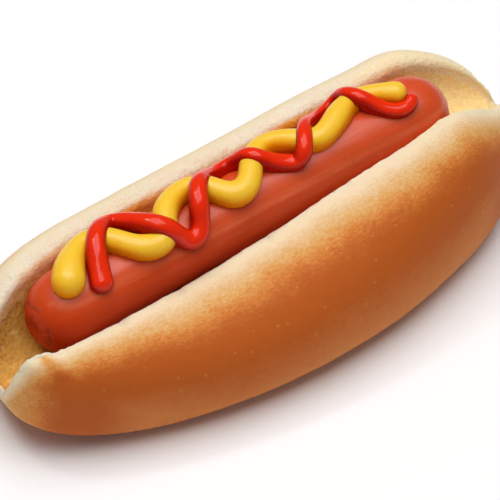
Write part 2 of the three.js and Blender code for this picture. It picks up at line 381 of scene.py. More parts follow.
def mottled(tree, place, scale, amount):
    """Soft uneven patches, finer as scale grows."""
    sockets = {"Vector": place, "Scale": scale, "Amount": amount}
    return add(tree, "ShaderNodeGroup", sockets, node_tree=mottle_group()).outputs["Value"]


def specks(tree, place, scale, size, share):
    """A mask of scattered round specks, finer as scale grows."""
    sockets = {"Vector": place, "Scale": scale, "Size": size, "Share": share}
    return add(tree, "ShaderNodeGroup", sockets, node_tree=speck_group()).outputs["Mask"]


def drawn_out(tree, place, squeeze):
    """Coordinates that draw a pattern out lengthwise."""
    return add(tree, "ShaderNodeMapping", {"Vector": place, "Scale": (squeeze, 1, 1)}).outputs[0]


def axes(tree, place):
    """A place's X, Y and Z."""
    return add(tree, "ShaderNodeSeparateXYZ", {"Vector": place}).outputs


def carried(tree, name):
    """A number that the mesh carries at each of its points."""
    return add(tree, "ShaderNodeAttribute", attribute_name=name).outputs["Fac"]


def new_material(name, **shader_values):
    """A material with its main shader, and object coordinates to place patterns with."""
    material = bpy.data.materials.new(name)
    material.use_nodes = True
    tree = material.node_tree
    shader = tree.nodes["Principled BSDF"]
    for socket, value in shader_values.items():
        shader.inputs[socket.replace("_", " ")].default_value = value
    place = add(tree, "ShaderNodeTexCoord").outputs["Object"]
    return material, tree, shader, place


def dress(tree, shader, relief, depth, **outputs):
    """Feeds the main shader its colour and masks, and a relief of the given depth."""
    bump = add(tree, "ShaderNodeBump", {"Strength": 1.0, "Distance": depth, "Height": relief})
    tree.links.new(bump.outputs["Normal"], shader.inputs["Normal"])
    for socket, output in outputs.items():
        tree.links.new(output, shader.inputs[socket.replace("_", " ")])


def crust_colour(tree, place, bake, bun):
    """Crust that browns with bake, wandering off it in patches, blotches and grain, which are calmer
    close to the cut edges."""
    lengthwise = drawn_out(tree, place, 0.5)
    wander = plus(
        tree,
        mottled(tree, place, 70, 0.035),
        mottled(tree, place, 230, 0.024),
        mottled(tree, lengthwise, 700, 0.016),
        mottled(tree, lengthwise, 1900, 0.05),
    )
    calm = faded(tree, bake, 0.0, 0.2, 0.4, 1.0)
    browning = plus(tree, bake, times(tree, wander, calm))
    edge, golden, amber, brown = bun.edge, bun.golden, bun.amber, bun.brown
    colour = ramp(tree, browning, (
        (0.0, edge), (0.04, edge), (0.11, between(edge, golden)), (0.19, golden), (0.27, amber),
        (0.34, between(amber, brown, 0.7)), (0.42, brown), (0.65, brown), (1.0, bun.underside),
    ))
    pale = times(tree, specks(tree, place, 460, 0.24, 0.22), faded(tree, bake, 0.15, 0.4), 0.26)
    colour = blend(tree, pale, colour, golden)
    smudges = faded(tree, mottled(tree, place, 520, 0.5), 0.35, 1.0, 0.0, 0.14)
    return blend(tree, smudges, colour, linear(120, 58, 26))


def crumb_colour(tree, place, bake, bun):
    """Open crumb: a cream rim, then a golden belt and tan deep inside, all paler by the higher end, full of
    small dark blots, and beside the frankfurter painted shade and orange light bounced off it, partly a juice
    stain."""
    depth = plus(tree, times(tree, bake, -1.0), mottled(tree, place, 330, 0.12))
    cream, tan, pale_tan = bun.cream, bun.crumb, bun.pale_crumb
    along = axes(tree, place)["X"]
    high_end = faded(tree, along, 30 * MM, 54 * MM)

    toasty = faded(tree, mottled(tree, place, 170, 0.5), -0.3, 0.9, 0.0, 0.45)
    middle = faded(tree, along, 25 * MM, -10 * MM, 0.0, 0.25)
    toasty = plus(tree, toasty, times(tree, middle, faded(tree, along, -60 * MM, -35 * MM)))
    rim = blend(tree, toasty, cream, between(cream, tan, 0.4))
    blots = faded(tree, mottled(tree, place, 380, 0.5), 0.35, 0.9, 0.0, 0.55)
    rim = blend(tree, blots, rim, between(cream, tan, 0.7))
    rim = blend(tree, high_end, rim, between(cream, pale_tan, 0.4))
    belt = blend(tree, high_end, bun.golden_crumb, pale_tan)
    deep = blend(tree, high_end, tan, pale_tan)
    colour = blend(tree, faded(tree, depth, 0.44, 0.58), rim, belt)
    colour = blend(tree, faded(tree, depth, 0.78, 1.0), colour, deep)
    # Painted shade and bounced orange light beside the frankfurter, partly a juice stain.
    colour = blend(tree, times(tree, carried(tree, "stain"), 0.95), colour, bun.stain)

    inside = times(tree, faded(tree, depth, 0.2, 0.8, 0.15, 1.0), faded(tree, high_end, 0, 1, 1.0, 0.4))
    for scale, dark, most in ((1000, linear(140, 84, 26), 0.6), (420, linear(196, 122, 40), 0.45)):
        patches = faded(tree, mottled(tree, place, scale, 0.5), -0.35, 0.75, 0.0, most)
        colour = blend(tree, times(tree, patches, inside), colour, dark)
    return colour


def bread_material(bun):
    """Smooth crust outside the cut edges, and rougher open crumb inside them."""
    material, tree, shader, place = new_material(
        "bread", IOR=1.4, Specular_IOR_Level=0.15, Subsurface_Weight=0.32, Subsurface_Scale=0.006,
        Subsurface_Radius=(1.0, 0.5, 0.2),
    )
    bake = carried(tree, "bake")
    skin = faded(tree, bake, -0.06, 0.02)
    colour = blend(tree, skin, crumb_colour(tree, place, bake, bun), crust_colour(tree, place, bake, bun))
    roughness = plus(tree, faded(tree, skin, 0, 1, 0.85, 0.58), mottled(tree, place, 400, 0.05))
    grain = plus(tree, mottled(tree, place, 1500, 0.25), mottled(tree, place, 500, 0.25))
    coarse = plus(tree, mottled(tree, place, 900, 0.9), mottled(tree, place, 2200, 0.5))
    relief = add(tree, "ShaderNodeMix", {0: skin, 2: coarse, 3: grain}).outputs[0]
    dress(tree, shader, relief, 0.12 * MM, Base_Color=colour, Roughness=roughness)
    return material


def frankfurter_material(sausage):
    """Smooth cured skin with a soft shine, redder in long patches, with painted shade low down its sides and
    in its ends' creases, and a painted highlight stripe over its front.
    """
    material, tree, shader, place = new_material(
        "frankfurter_skin", Specular_IOR_Level=0.1, Subsurface_Weight=0.12, Subsurface_Scale=0.002,
        Subsurface_Radius=(1.0, 0.25, 0.1), Coat_Roughness=0.34, Coat_IOR=1.55,
    )
    lengthwise = drawn_out(tree, place, 0.1)
    streaks = plus(tree, mottled(tree, lengthwise, 260, 0.5), mottled(tree, lengthwise, 800, 0.35))
    patches = mottled(tree, place, 70, 0.5)
    flushed = faded(tree, plus(tree, streaks, patches), -0.7, 0.7)
    colour = blend(tree, flushed, sausage.skin, sausage.flush)
    spot = axes(tree, place)
    height = plus(tree, spot["Z"], times(tree, patches, 2 * MM))
    # Painted shade: the skin darkens low down its sides.
    colour = blend(tree, faded(tree, height, 41 * MM, 31 * MM), colour, sausage.side)

    # A faint painted highlight runs lengthwise over its front, as a pale stripe.
    level = maths(tree, "SUBTRACT", spot["Z"], times(tree, spot["X"], HIGHLIGHT_STRIPE_SLOPE))
    level = plus(tree, level, mottled(tree, lengthwise, 180, 0.6 * MM))
    off_highlight_stripe = maths(tree, "ABSOLUTE", maths(tree, "SUBTRACT", level, HIGHLIGHT_STRIPE_Z))
    highlight_stripe = times(
        tree,
        faded(tree, off_highlight_stripe, 1.1 * MM, 0.1 * MM),
        faded(tree, spot["Y"], 4 * MM, 1 * MM),
        faded(tree, streaks, -0.7, 0.5, 0.1, 0.5),
    )
    colour = blend(tree, highlight_stripe, colour, linear(222, 116, 78))
    freckles = times(tree, specks(tree, place, 520, 0.25, 0.12), 0.25)
    colour = blend(tree, freckles, colour, linear(120, 36, 16))
    # Painted shade: the skin darkens in the creases of its ends.
    crease_shade = faded(tree, carried(tree, "crease"), 0.2, 1.2, 0.0, 0.55)
    colour = blend(tree, crease_shade, colour, linear(112, 46, 36))
    shine = times(tree, faded(tree, height, 34 * MM, 42 * MM), faded(tree, streaks, -1, 1, 0.5, 1))
    roughness = faded(tree, streaks, -0.8, 0.8, 0.36, 0.5)
    relief = plus(tree, streaks, mottled(tree, place, 1400, 0.12))
    dress(tree, shader, relief, 0.09 * MM, Base_Color=colour, Coat_Weight=shine, Roughness=roughness)
    return material


def mustard_material(sauces):
    """Smooth yellow paste with a satin shine, and painted shade that deepens its colour down its sides."""
    material, tree, shader, place = new_material(
        "mustard_paste", Specular_IOR_Level=0.06, Subsurface_Weight=0.4, Subsurface_Scale=0.0022,
        Subsurface_Radius=(1.0, 0.3, 0.05), Coat_Roughness=0.36, Coat_IOR=1.6,
    )
    patches = mottled(tree, place, 240, 0.5)
    crest = plus(tree, carried(tree, "crest"), times(tree, patches, 0.12))
    # Painted shade: the lit top colour turns to the shaded foot colour down the sides.
    colour = blend(tree, faded(tree, crest, 0.0, 0.9), sauces.mustard_shaded_foot, sauces.mustard)
    grains = times(tree, specks(tree, place, 900, 0.3, 0.25), 0.2)
    colour = blend(tree, grains, colour, linear(206, 140, 20))
    shine = faded(tree, crest, 0.55, 1.0, 0.0, 0.7)
    roughness = faded(tree, patches, -0.8, 0.8, 0.34, 0.46)
    relief = plus(tree, mottled(tree, place, 1100, 0.3), mottled(tree, place, 420, 0.4))
    dress(tree, shader, relief, 0.06 * MM, Base_Color=colour, Coat_Weight=shine, Roughness=roughness)
    return material


def ketchup_material(sauces):
    """Wet glossy red sauce, with painted shade that deepens its colour down its sides."""
    material, tree, shader, place = new_material(
        "ketchup_sauce", Specular_IOR_Level=0.08, Subsurface_Weight=0.08, Subsurface_Scale=0.0015,
        Subsurface_Radius=(1.0, 0.15, 0.05), Coat_Roughness=0.04, Coat_IOR=1.45,
    )
    patches = mottled(tree, place, 220, 0.5)
    crest = plus(tree, carried(tree, "crest"), times(tree, patches, 0.2))
    # Painted shade: the lit top colour turns to the shaded foot colour down the sides.
    colour = blend(tree, faded(tree, crest, 0.3, 0.9), sauces.ketchup_shaded_foot, sauces.ketchup)
    shine = faded(tree, crest, 0.1, 0.9, 0.05, 0.5)
    roughness = faded(tree, patches, -0.8, 0.8, 0.2, 0.3)
    relief = plus(tree, mottled(tree, place, 300, 0.5), mottled(tree, place, 900, 0.15))
    dress(tree, shader, relief, 0.11 * MM, Base_Color=colour, Coat_Weight=shine, Roughness=roughness)
    return material


# ---------------------------- frankfurter

# The middle of the frankfurter, how far its higher end climbs above that, and how its lower end nods.
SAUSAGE_X = -3.9 * MM
SAUSAGE_Y = 4.8 * MM
SAUSAGE_Z = 33 * MM
SAUSAGE_RISE = 2.3 * MM
SAUSAGE_NOD = 1.2 * MM

# Its round ends and the dimples in them.
DOME_LENGTH = 11 * MM
DOME_POWER = 2.2
PUCKER_DEPTH = 1.4 * MM
PUCKER_RADIUS = 2.6 * MM

# Its two round creases at each end, as (radius, seed), and the ring of folds inside them.
CREASES = ((7.6 * MM, 9), (5.7 * MM, 14))
CREASE_WIDTH = 0.5 * MM
CREASE_WANDER = 0.6 * MM
FOLDS = 9
FOLD_RADIUS = 4 * MM
FOLD_WIDTH = 2.4 * MM

# The painted highlight stripe on its front: its height above the table in the middle, and how it climbs.
HIGHLIGHT_STRIPE_Z = 39.4 * MM
HIGHLIGHT_STRIPE_SLOPE = 0.02


def sausage_axis(along, sausage):
    """The frankfurter's axis at a distance along it from its middle."""
    half = sausage.length / 2
    t = max(-1.0, min(1.0, along / half))
    nod = SAUSAGE_NOD * max(0.0, -t) ** 3
    return Vector((
        SAUSAGE_X + along,
        SAUSAGE_Y + sausage.bow * (0.5 - t * t),
        SAUSAGE_Z + SAUSAGE_RISE * t - nod,
    ))


def sausage_radius(along, sausage):
    """The frankfurter's radius there, which closes in over its round ends."""
    rise = clamp01((sausage.length / 2 - abs(along)) / DOME_LENGTH)
    return sausage.radius * (1 - (1 - rise) ** DOME_POWER) ** (1 / DOME_POWER)


def on_end(along, sausage):
    """How far a place along the frankfurter belongs to the face of one of its ends, 0 to 1."""
    return ease((abs(along) - sausage.length / 2 + 4 * MM) / (3 * MM))


def end_creases(along, around, radius, sausage):
    """How deep the uneven round creases of the frankfurter's ends are at a point."""
    creases = 0
    for crease_radius, seed in CREASES:
        wander = CREASE_WANDER * rough(around, 0.5, seed)
        depth = clamp01(0.65 + 0.9 * rough(around, 0.6, seed + 2))
        creases += depth * bump_at(radius, crease_radius + wander, CREASE_WIDTH)
    return on_end(along, sausage) * creases


def make_frankfurter(sausage, sides=112, dome_rings=34, body_rings=130):
    """The frankfurter's mesh, with long shallow ripples and a gathered, tied-off skin at its ends."""
    half = sausage.length / 2
    places = ring_places(sausage.length, DOME_LENGTH, dome_rings, body_rings)
    depths = {}

    def place(ring, side, rim):
        along = places[ring] - half
        centre = sausage_axis(along, sausage)
        radius = sausage_radius(along, sausage) * rim
        angle = math.tau * side / sides
        near_tip = clamp01((abs(along) - half) / PUCKER_DEPTH + 1)
        dimple = PUCKER_DEPTH * near_tip * math.exp(-((radius / PUCKER_RADIUS) ** 2))
        around = Vector((0, math.cos(angle), math.sin(angle)))
        # The skin gathers into faint folds round the dimple, inside uneven round creases.
        folds = math.cos(FOLDS * angle + 2.2 * rough(around, 0.9, 4))
        folds *= bump_at(radius, FOLD_RADIUS, FOLD_WIDTH) * on_end(along, sausage)
        creases = end_creases(along, around, radius, sausage)
        depths[ring, side, rim] = creases
        pulled = sausage.wrinkles * (0.3 * folds + creases)
        ripple = 0.09 * MM * rough(Vector((along / 6, radius * around.y, radius * around.z)), 2.6 * MM, 1)
        swell = 0.12 * MM * rough(Vector((along, radius * around.y, radius * around.z)), 14 * MM, 5)
        radius += (ripple + swell) * rim * (1 - near_tip)
        return Vector((
            centre.x - math.copysign(dimple + pulled, along),
            centre.y + radius * around.y,
            centre.z + radius * around.z,
        ))

    bm, where = formed(sides, len(places), place, layers=("crease",))
    crease = bm.verts.layers.float["crease"]
    for vert, spot in where.items():
        vert[crease] = depths[spot]
    return bm


# ---------------------------- bun

# The height at which the bun is widest, the flat spot that it stands on, and its tips. Shares of its
# length count from its middle, to -1 at the lower tip and 1 at the higher one.
WIDEST_Z = 13.6 * MM
BASE_FRONT = -16 * MM
BASE_BACK = 19 * MM
BASE_FROM = -0.38
BASE_TO = 0.58
TIP_Y = (0, 2.8 * MM)
TIP_Z = 17 * MM
# The channel's depth below the frankfurter, and how near the tips it closes.
CHANNEL_ROOM = 0.6 * MM
CHANNEL_FADE = 1.2 * MM

# The two halves' edges: distance from the frankfurter's axis, heights at the lower and the higher end,
# and roundness.
FRONT_LIP = {"reach": 12.6 * MM, "low": 31.2 * MM, "high": 42 * MM, "round": 1.4 * MM}
BACK_LIP = {"reach": 15.4 * MM, "low": 37 * MM, "high": 41.2 * MM, "round": 3 * MM}
# Where the front half's edge climbs from its low height to its high one.
FRONT_CLIMB = (-0.45, 0.85)
# Humps and hollows in the edges: height, middle and spread.
FRONT_HUMPS = (
    (3.2 * MM, -0.95, 0.03), (3 * MM, -0.9, 0.05), (1.9 * MM, 0.655, 0.1), (-3.6 * MM, 0.86, 0.08),
)
BACK_HUMPS = ((1.8 * MM, 0.705, 0.093),)

# How squarely each measure fills out towards the lower and the higher tip: 2 is an ellipse.
FULL = {
    "front_width": (1.62, 1.88),
    "back_width": (8, 8),
    "underside": (2.5, 3),
    "belly": (2, 2),
    "front_lip_height": (14, 7),
    "back_lip_height": (7, 6),
    "lip_reach": (7, 6),
    "floor": (12, 12),
}
# The powers of the superellipses that the outline is made of.
ROUND = 2
FRONT_SHOULDER = 2.1
LOW_CORNER = 2.3
BACK_WALL = 2.3
FRONT_WALL = 2.9

# Steps across each stretch of the bun's outline, in the order in which bun_section goes round.
BACK_SKIN, BACK_RIM, BACK_INSIDE, FRONT_INSIDE, FRONT_RIM = 34, 12, 50, 44, 8
FRONT_SKIN, FRONT_LOW, UNDERSIDE, BACK_LOW = 56, 26, 14, 24
# The steps at the back half's edge, the channel's bottom and the front half's edge.
BACK_CREST = BACK_SKIN
BED = BACK_CREST + BACK_RIM + BACK_INSIDE
FRONT_CREST = BED + FRONT_INSIDE + FRONT_RIM

# Nicks in the front half's edge, in mm: place along the bun, depth and half width.
NICKS = (
    (-66.9, 0.7, 1.2), (-48.6, 0.5, 0.9), (-31, 0.3, 1.4), (-4.2, 0.7, 0.9), (20.7, 0.5, 0.7), (47, 0.3, 1.5),
)
NICK_STEPS = 24
# The dent below the front half's knob, from one point to the other.
DENT = (Vector((-70.6, -6.6, 32.2)) * MM, Vector((-68.6, -11.6, 26.6)) * MM)
DENT_WIDTH = 2 * MM
DENT_DEPTH = 0.6 * MM

# Bake is 1 this far from a cut edge, and PALE_RIM below 0 on a cut edge's narrow pale rim.
BAKED_BY = 40 * MM
PALE_RIM = 0.06
# The crumb's cream rim: its width at the lower end, and further on.
CREAM_BACK = (3.6 * MM, 5.4 * MM)
CREAM_FRONT = (2 * MM, 4 * MM)
# What the middle of each tip carries: its bake, and its distance from a cut edge.
TIP_BAKE = (0.1, 5 * MM)

# The long patches of stain and painted shade beside the frankfurter: middle and reach along the bun.
STAIN_AND_SHADE_PATCHES = ((-33 * MM, 18 * MM), (20 * MM, 11 * MM))


def fullness(t, powers):
    """How full something is along the bun: 1 in its middle and 0 at both tips."""
    return math.sqrt(1 - clamp01(abs(t) ** (powers[0] if t < 0 else powers[1])))


def arc(cy, cz, ry, rz, power, start, end, steps):
    """A stretch of superellipse, from start to end in quarter turns and without its last point."""
    points = []
    for i in range(steps):
        turn = math.pi / 2 * mix(start, end, i / steps)
        c, s = math.cos(turn), math.sin(turn)
        points.append((
            cy + ry * math.copysign(abs(c) ** (2 / power), c),
            cz + rz * math.copysign(abs(s) ** (2 / power), s),
        ))
    return points


def humps_at(t, humps):
    """How much humps and hollows add to a lip's height."""
    return sum(height * bump_at(t, middle, spread) for height, middle, spread in humps)


def tip_y(along):
    """How far across the tip lies on that side of the bun's middle."""
    return TIP_Y[0 if along < 0 else 1]


def bun_section(x, bun, sausage):
    """The bun's closed outline across its length, as (y, z) points."""
    t = x / (bun.length / 2)
    cradle = sausage_axis(x - SAUSAGE_X, sausage)
    lip_reach = fullness(t, FULL["lip_reach"])
    belly = fullness(t, FULL["belly"])
    rocker = clamp01((t - BASE_FROM) / (-1 - BASE_FROM) if t < 0 else (t - BASE_TO) / (1 - BASE_TO))
    climb = ease((t - FRONT_CLIMB[0]) / (FRONT_CLIMB[1] - FRONT_CLIMB[0]))
    open_here = ease((1 - abs(t)) * bun.length / 2 / CHANNEL_FADE)
    end = tip_y(t)

    front = mix(end, -bun.width / 2, fullness(t, FULL["front_width"]))
    back = mix(end, bun.width / 2, fullness(t, FULL["back_width"]))
    base = mix(TIP_Z, 0, fullness(math.copysign(rocker, t), FULL["underside"]))
    widest = mix(TIP_Z, WIDEST_Z, belly)
    base_front = mix(end, BASE_FRONT, belly)
    base_back = mix(end, BASE_BACK, belly)

    front_y = mix(end, SAUSAGE_Y - FRONT_LIP["reach"], lip_reach)
    front_height = mix(FRONT_LIP["low"], FRONT_LIP["high"], climb) + humps_at(t, FRONT_HUMPS)
    front_z = mix(TIP_Z, front_height, fullness(t, FULL["front_lip_height"]))
    front_round = FRONT_LIP["round"] * lip_reach * open_here
    back_y = mix(end, SAUSAGE_Y + BACK_LIP["reach"], lip_reach)
    back_height = mix(BACK_LIP["low"], BACK_LIP["high"], (t + 1) / 2) + humps_at(t, BACK_HUMPS)
    back_z = mix(TIP_Z, back_height, fullness(t, FULL["back_lip_height"]))
    back_round = BACK_LIP["round"] * lip_reach * open_here

    floor_reach = fullness(t, FULL["floor"])
    middle = mix(end, cradle.y, floor_reach)
    back_top = back_z - back_round
    front_top = front_z - front_round
    bed = mix(TIP_Z, cradle.z - sausage.radius - CHANNEL_ROOM, floor_reach)
    floor = mix(max(back_top, front_top), bed, open_here)
    inner_back = back_y - back_round - middle
    inner_front = middle - front_y - front_round
    return (
        arc(back_y, widest, back - back_y, back_z - widest, ROUND, 0, 1, BACK_SKIN)
        + arc(back_y, back_top, back_round, back_round, ROUND, 1, 2, BACK_RIM)
        + arc(middle, back_top, inner_back, back_top - floor, BACK_WALL, 0, -1, BACK_INSIDE)
        + arc(middle, front_top, inner_front, front_top - floor, FRONT_WALL, -1, -2, FRONT_INSIDE)
        + arc(front_y, front_top, front_round, front_round, ROUND, 0, 1, FRONT_RIM)
        + arc(front_y, widest, front_y - front, front_z - widest, FRONT_SHOULDER, 1, 2, FRONT_SKIN)
        + arc(base_front, widest, base_front - front, widest - base, LOW_CORNER, 2, 3, FRONT_LOW)
        + [(mix(base_front, base_back, i / UNDERSIDE), base) for i in range(UNDERSIDE)]
        + arc(base_back, widest, back - base_back, widest - base, LOW_CORNER, 3, 4, BACK_LOW)
    )


def bake_along(section, t, half):
    """How baked each point of an outline is: 0 at the cut edges, up to 1 over the crust, and down
    to -1 in the crumb. Each value goes with its distance from the nearer edge."""
    lengths = [0.0]
    for (y0, z0), (y1, z1) in zip(section, section[1:] + section[:1]):
        lengths.append(lengths[-1] + math.hypot(y1 - y0, z1 - z0))
    total = lengths.pop()
    sooner = 1 + 0.8 * ease((-0.3 - t) / 0.65) + 0.25 * ease((t - 0.4) / 0.55)
    by_tip = 6 * MM + 1.2 * (1 - abs(t)) * half
    by_knob = 2.4 * MM * bump_at(t, -0.9, 0.07)
    cream_back = mix(*CREAM_BACK, ease((t + 0.9) / 0.3))
    cream_front = mix(*CREAM_FRONT, ease((t + 0.9) / 0.15))
    deepest = mix(1, 0.72, ease((t - 0.6) / 0.3))
    values = []
    for length in lengths:
        from_back = length - lengths[BACK_CREST]
        from_front = lengths[FRONT_CREST] - length
        if from_back > 0 and from_front > 0:
            inside = min(from_back / cream_back, from_front / cream_front) / 2
            least = PALE_RIM if from_back < from_front else 0
            values.append((-max(least, min(deepest, inside)), min(from_back, from_front)))
        else:
            over_front = (-from_front) % total
            over_back = (-from_back) % total
            baked = min(over_front * sooner - by_knob, max(-PALE_RIM * BAKED_BY, over_back - 3 * MM), by_tip)
            baked = min(1.0, max(-PALE_RIM, baked / BAKED_BY))
            values.append((baked, min(over_front, over_back)))
    return values


def to_skin(point, sausage):
    """The way from a point straight in to the frankfurter's skin, how far that is, and how far the
    point lies from the frankfurter's nearer end, below 0 beyond it."""
    along = point.x - SAUSAGE_X
    axis = sausage_axis(along, sausage)
    inward = Vector((0, axis.y - point.y, axis.z - point.z))
    room = inward.length - sausage_radius(along, sausage)
    return inward.normalized(), room, sausage.length / 2 - abs(along)


def hug(point, sausage, distance):
    """How far a point of the front half's inner wall leans over to meet the frankfurter."""
    inward, room, from_end = to_skin(point, sausage)
    room -= 0.12 * MM
    near_end = ease((from_end - 3 * MM) / (6 * MM))
    share = ease((2.6 * MM - room) / (1.2 * MM)) * bump_at(distance, 5 * MM, 2.4 * MM) * near_end
    return inward * max(0.0, room) * share


def shaded_and_soaked(point, sausage, distance):
    """How much stain and painted shade the crumb gets from the frankfurter: painted shade and orange light
    bounced off its skin, partly a juice stain. It lies near its skin, most in two long patches, and round its
    higher end, but not by the cut edges."""
    inward, room, from_end = to_skin(point, sausage)
    room += 1.1 * MM * rough(point, 4.5 * MM, 31) + 0.8 * MM * rough(point, 1.5 * MM, 33)
    # On the back half the stain and painted shade reach up to a sharper line, closer to its edge.
    if inward.y < 0:
        by_skin = ease((5.6 * MM - room) / (0.7 * MM)) * ease((distance - 1.5 * MM) / (1.5 * MM))
    else:
        by_skin = ease((4.6 * MM - room) / (1.6 * MM)) * ease((distance - 4 * MM) / (3 * MM))
    patches = 0.3 + sum(0.7 * bump_at(point.x, middle, reach) for middle, reach in STAIN_AND_SHADE_PATCHES)
    patches *= mix(0.5, 1, ease((from_end - 1 * MM) / (5 * MM)))
    by_skin *= min(1.0, patches) * ease((from_end + 4 * MM) / (5 * MM))

    half = sausage.length / 2
    from_dome = (point - sausage_axis(half - DOME_LENGTH, sausage)).length
    beyond = point.x - SAUSAGE_X - half
    by_dome = ease((16 * MM - from_dome) / (4 * MM)) * ease((beyond + 8 * MM) / (4 * MM))
    by_dome *= ease((distance - 4 * MM) / (3 * MM)) * (0.4 + 0.5 * rough(point, 5 * MM, 35))
    return max(by_dome, by_skin)


def crumb_at(point):
    """How high the open crumb stands: soft unevenness, and holes where a hump falls low."""
    crumb = rough(point, 3.4 * MM, 6) + 0.5 * rough(point, 1.4 * MM, 8)
    return crumb - 2 * max(0.0, rough(point, 2.6 * MM, 12) - 0.3)


def torn_at(point, distance):
    """How far a cut edge strays from a clean line, from about -1 to 1."""
    strays = rough(point, 3.2 * MM, 15) + 0.8 * rough(point, 1.2 * MM, 17)
    return bump_at(distance, 0, 1.3 * MM) * strays


def nicks_at(point, distance):
    """How deep the nicks in the front half's edge are at a point."""
    across = bump_at(distance, 0, 1.6 * MM)
    return sum(depth * MM * bump_at(point.x, x * MM, spread * MM) * across for x, depth, spread in NICKS)


def dent_at(point):
    """How far a point lies in the dent below the front half's knob, 0 to 1."""
    start, end = DENT
    run = end - start
    reach = clamp01((point - start).dot(run) / run.length_squared)
    return bump_at((point - start - run * reach).length, 0, DENT_WIDTH)


def make_bun(bun, sausage, rings=330):
    """The bun's mesh, with a torn edge, open crumb and a softly uneven crust."""
    half = bun.length / 2
    sections, bakes = [], []
    # The rings lie closer together towards the tips, and end just short of them.
    for i in range(rings):
        even = mix(-1, 1, i / (rings - 1))
        x = half * mix(even, math.sin(math.pi / 2 * even), 0.75) * 0.9995
        points = bun_section(x, bun, sausage)
        sections.append((x, points))
        bakes.append(bake_along(points, x / half, half))

    def place(ring, side, rim):
        x, points = sections[ring]
        if rim:
            return Vector((x, *points[side]))
        lowest = min(z for _, z in points)
        return Vector((x, tip_y(x), (lowest + TIP_Z) / 2))

    bm, where = formed(len(sections[0][1]), rings, place, layers=("bake", "stain"))
    bake_layer = bm.verts.layers.float["bake"]
    stain_and_shade_layer = bm.verts.layers.float["stain"]
    moved = {}
    for vert, (ring, side, rim) in where.items():
        bake, distance = bakes[ring][side] if rim else TIP_BAKE
        point = vert.co.copy()
        shift = 0.3 * MM * rough(point, 24 * MM) + 0.1 * MM * rough(point, 7 * MM, 3)
        shift += ease(-bake / 0.3) * bun.crumb_relief * crumb_at(point)
        shift += bun.torn_edge * torn_at(point, distance)
        if abs(side - FRONT_CREST) < NICK_STEPS:
            shift -= nicks_at(point, distance)
        if side > FRONT_CREST:
            dent = dent_at(point)
            shift -= DENT_DEPTH * dent
            # Painted shade: the crust browns in the dent.
            bake += 0.18 * dent
        # How much painted shade and stain the crumb gets beside the frankfurter; it also sinks the back
        # half's wall a little.
        stain = shaded_and_soaked(point, sausage, distance) if bake < 0 else 0
        if side < BED:
            shift -= 0.2 * MM * stain
        # What stands on the table stays as it is.
        off_table = ease((point.z - 0.1 * MM) / (4 * MM))
        target = point + vert.normal * shift * off_table
        if rim and BED < side < FRONT_CREST:
            target += hug(target, sausage, distance)
        target.z = max(0.0, target.z)
        moved[vert] = target
        vert[bake_layer] = bake
        vert[stain_and_shade_layer] = stain
    for vert, target in moved.items():
        vert.co = target
    return bm


# ---------------------------- sauces

LINE_STEPS = 1600
CLEARANCE = 0.02 * MM

# Where each bead goes: mm along the frankfurter from its middle, degrees round it towards the front,
# how far the bead is lifted off its usual height in mm, and its radius as a share of the usual one.
MUSTARD_HEIGHT = 1.9
MUSTARD_ROUTE = (
    (-54.8, 26, -0.2, 1.4), (-52, 0, 0, 1.4), (-47.5, -20, 0, 1.1), (-42.5, -30, 0.6, 0.95),
    (-38.5, -19, 0.4, 1), (-36, 1, 0, 0.95), (-33.5, 17, 0, 1), (-30.5, 26, 0, 1.05),
    (-27, 28, 0, 1), (-25, 18, 0, 1.08), (-23.1, 2, 0, 1.1), (-20.9, -9, 0, 1.07),
    (-17.2, -20, 0.2, 0.97), (-12, -23, 0.4, 0.85), (-9.3, -12, 0.4, 0.95), (-8, 0, 0, 1),
    (-5.5, 18, 0, 1.05), (-2, 23, 0, 1.1), (1.5, 13, 0, 1.05), (4, -3, 0, 1),
    (7.5, -20, 0, 0.95), (11.5, -28, 0, 0.9), (15, -19, 0, 0.95), (18, -5, 0, 0.95),
    (20.5, 5, 0, 1), (23.5, 10, 0, 1), (27, 5, 0, 1.05), (32, -8, 0, 1.05),
    (36.5, -20, 0, 0.9), (41, -18, 0.1, 0.8), (45.5, -6, -0.2, 0.9), (50.3, 11, -0.2, 1.07),
)
KETCHUP_HEIGHT = 1
KETCHUP_ROUTE = (
    (-46.5, 44, 0, 1.5), (-45, 20, 0.2, 1.35), (-43.5, 2, 2.5, 1.25), (-41.5, -10, 4.3, 1.2),
    (-38, -24, 4, 1.15), (-34.5, -34, 2.5, 1.1), (-32, -26, 2.2, 1.1), (-30.2, -9, 2.7, 1.15),
    (-28, 7, 4, 1.2), (-25.5, 17, 4, 1.2), (-23.6, 26, 2.2, 1.2), (-21.3, 39, 0, 1.25),
    (-19, 45, 0, 1.25), (-16.5, 36, 0, 1.25), (-15.4, 23, 1.5, 1.3), (-14.6, 12, 4.1, 1.2),
    (-11.8, -4, 4.4, 1.15), (-8.3, -17, 2.8, 0.95), (-3.5, -32, 0.4, 0.85), (0.5, -36, 0.2, 0.85),
    (3, -26, 1.2, 0.9), (4.5, -12, 3.4, 1), (6, -2, 3.4, 1.05), (8.7, 4, 1, 1.1),
    (12, 14, 0, 1.05), (15.2, 23, 0.2, 1.05), (16.8, 19, 3.4, 1.05), (19, 5, 4.2, 1),
    (22.5, -14, 2.9, 0.9), (27, -32, 0.3, 0.75), (31, -42, 0.2, 0.7), (34.5, -44, 1, 0.75),
    (36.8, -36, 2.6, 0.8), (37, -22, 3.6, 0.9), (38, -8, 3.7, 1), (41, 3, 1, 1),
    (43.5, 18, 0, 0.95), (46.5, 27, 0, 0.95), (49.6, 26, 0, 0.95), (51.8, 15, 0, 0.85),
)


